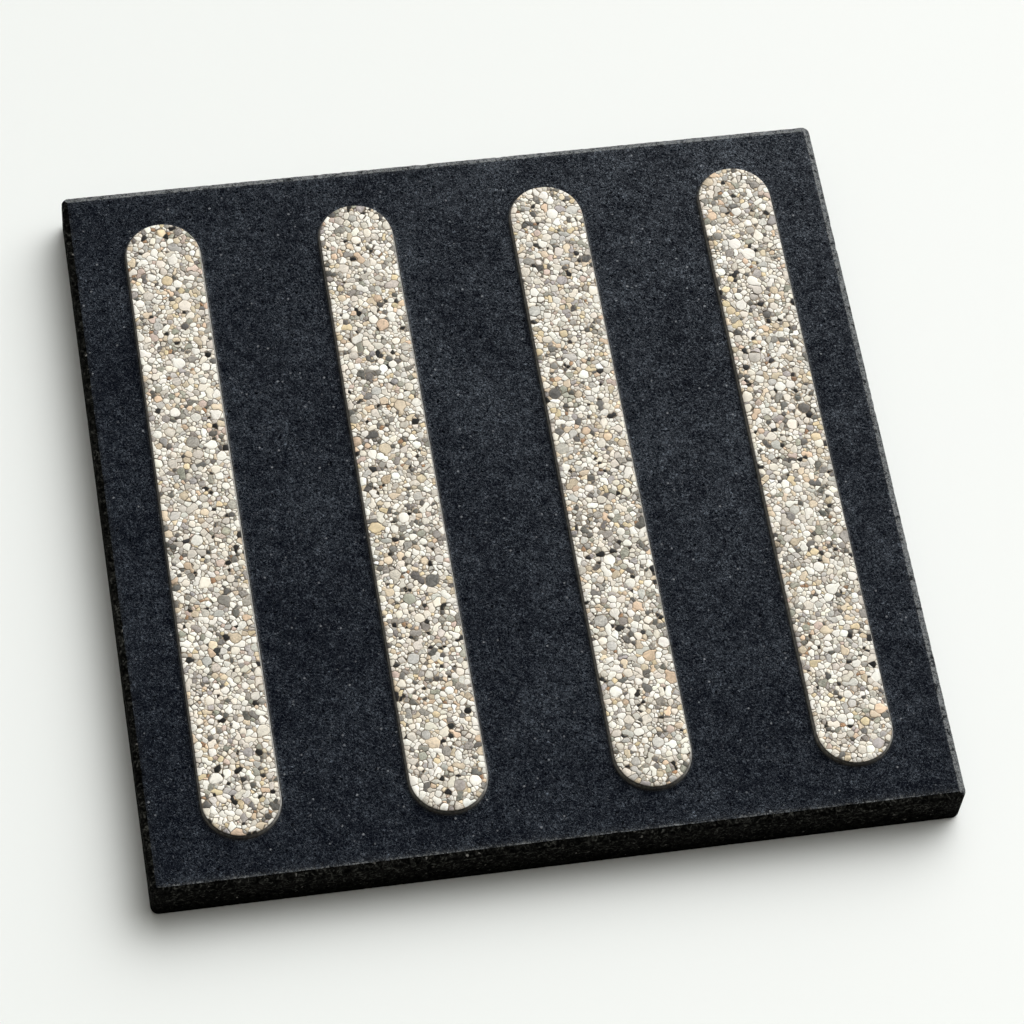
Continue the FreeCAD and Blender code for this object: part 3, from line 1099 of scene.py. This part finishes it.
slab = make_slab()
slab.data.materials.append(slab_mat)
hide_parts("slab_body")
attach(slab, "root")

for index, (node, spec) in enumerate(zip(BAR_NODES, BARS)):
    bar = make_bar(index, spec)
    bar.data.materials.append(bar_mat)
    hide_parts(node)
    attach(bar, "root")


# -------------------------------------------------------------------- stage
def make_stage():
    g = Graph("pale_floor")
    co = g.coords()
    sep = g.node("ShaderNodeSeparateXYZ", {0: co})
    # painted light: the floor's colour is made a little lighter to the right
    along = g.math("ADD", g.math("MULTIPLY", sep.outputs["X"], 0.95), g.math("MULTIPLY", sep.outputs["Y"], -0.10))
    painted_light_ramp = g.ramp(along, -0.22, 0.22)
    tone = g.mix(painted_light_ramp, (0.800, 0.812, 0.798, 1), (0.852, 0.860, 0.848, 1))
    g.put(g.shader.inputs["Base Color"], tone)
    g.shader.inputs["Roughness"].default_value = 0.9
    g.shader.inputs["Specular IOR Level"].default_value = 0.1
    mesh = bpy.data.meshes.new("floor")
    # a hair lower than the slab, so that floor and underside never share a plane
    w, low = 4.0, -0.00002
    mesh.from_pydata([(-w, -w, low), (w, -w, low), (w, w, low), (-w, w, low)], [], [(0, 1, 2, 3)])
    mesh.materials.append(g.mat)
    floor = bpy.data.objects.new("floor", mesh)
    bpy.context.scene.collection.objects.link(floor)


def make_light():
    world = bpy.data.worlds.new("studio")
    bpy.context.scene.world = world
    world.use_nodes = True
    t = world.node_tree
    t.nodes.clear()
    out = t.nodes.new("ShaderNodeOutputWorld")
    co = t.nodes.new("ShaderNodeTexCoord")

    def lobe(direction, strength):
        dot = t.nodes.new("ShaderNodeVectorMath")
        dot.operation = "DOT_PRODUCT"
        dot.inputs[1].default_value = Vector(direction).normalized()
        t.links.new(co.outputs["Generated"], dot.inputs[0])
        top = t.nodes.new("ShaderNodeMath"); top.operation = "MAXIMUM"
        t.links.new(dot.outputs["Value"], top.inputs[0]); top.inputs[1].default_value = 0.0
        power = t.nodes.new("ShaderNodeMath"); power.operation = "POWER"
        t.links.new(top.outputs[0], power.inputs[0]); power.inputs[1].default_value = 6.0
        gain = t.nodes.new("ShaderNodeMath"); gain.operation = "MULTIPLY"
        t.links.new(power.outputs[0], gain.inputs[0]); gain.inputs[1].default_value = strength
        return gain.outputs[0]

    # soft light from the back on the right, and a faint warm fill
    bg = t.nodes.new("ShaderNodeBackground")
    t.links.new(lobe((0.53, 0.58, 0.68), 6.2), bg.inputs["Strength"])
    bg.inputs["Color"].default_value = (0.985, 1.0, 0.995, 1)
    fill = t.nodes.new("ShaderNodeBackground")
    fill.inputs["Color"].default_value = (1.0, 0.95, 0.80, 1)
    fill.inputs["Strength"].default_value = 0.12
    add = t.nodes.new("ShaderNodeAddShader")
    t.links.new(bg.outputs[0], add.inputs[0])
    t.links.new(fill.outputs[0], add.inputs[1])
    t.links.new(add.outputs[0], out.inputs[0])
    # the sheen on the dark face comes from a low panel behind, on the right
    world.cycles_visibility.glossy = False

    data = bpy.data.lights.new("panel", "AREA")
    data.shape = "RECTANGLE"
    data.size, data.size_y = 0.46, 0.34
    data.energy = 3.9
    panel = bpy.data.objects.new("panel", data)
    panel.visible_diffuse = False
    bpy.context.scene.collection.objects.link(panel)
    where, at = Vector((0.47, 0.83, 0.52)), Vector((0.15, 0.15, 0.0))
    panel.matrix_world = Matrix.Translation(where) @ (where - at).to_track_quat("Z", "Y").to_matrix().to_4x4()


make_stage()
make_light()
scene = bpy.context.scene
scene.view_settings.view_transform = "Standard"
scene.view_settings.look = "None"
scene.view_settings.exposure = 0.0
scene.view_settings.gamma = 1.0

# ------------------------------------------------------------------- checks
total = 0
for obj in [slab] + [bpy.data.objects["bar_mosaic_%d" % n] for n in (1, 2, 3, 4)]:
    bm = bmesh.new()
    bm.from_mesh(obj.data)
    open_edges = sum(1 for e in bm.edges if not e.is_manifold)
    tris = sum(len(f.verts) - 2 for f in bm.faces)
    print(obj.name, "triangles", tris, "open edges", open_edges, "volume", round(bm.calc_volume(signed=True) * 1e9))
    bm.free()
    total += tris
print("triangles in all", total)
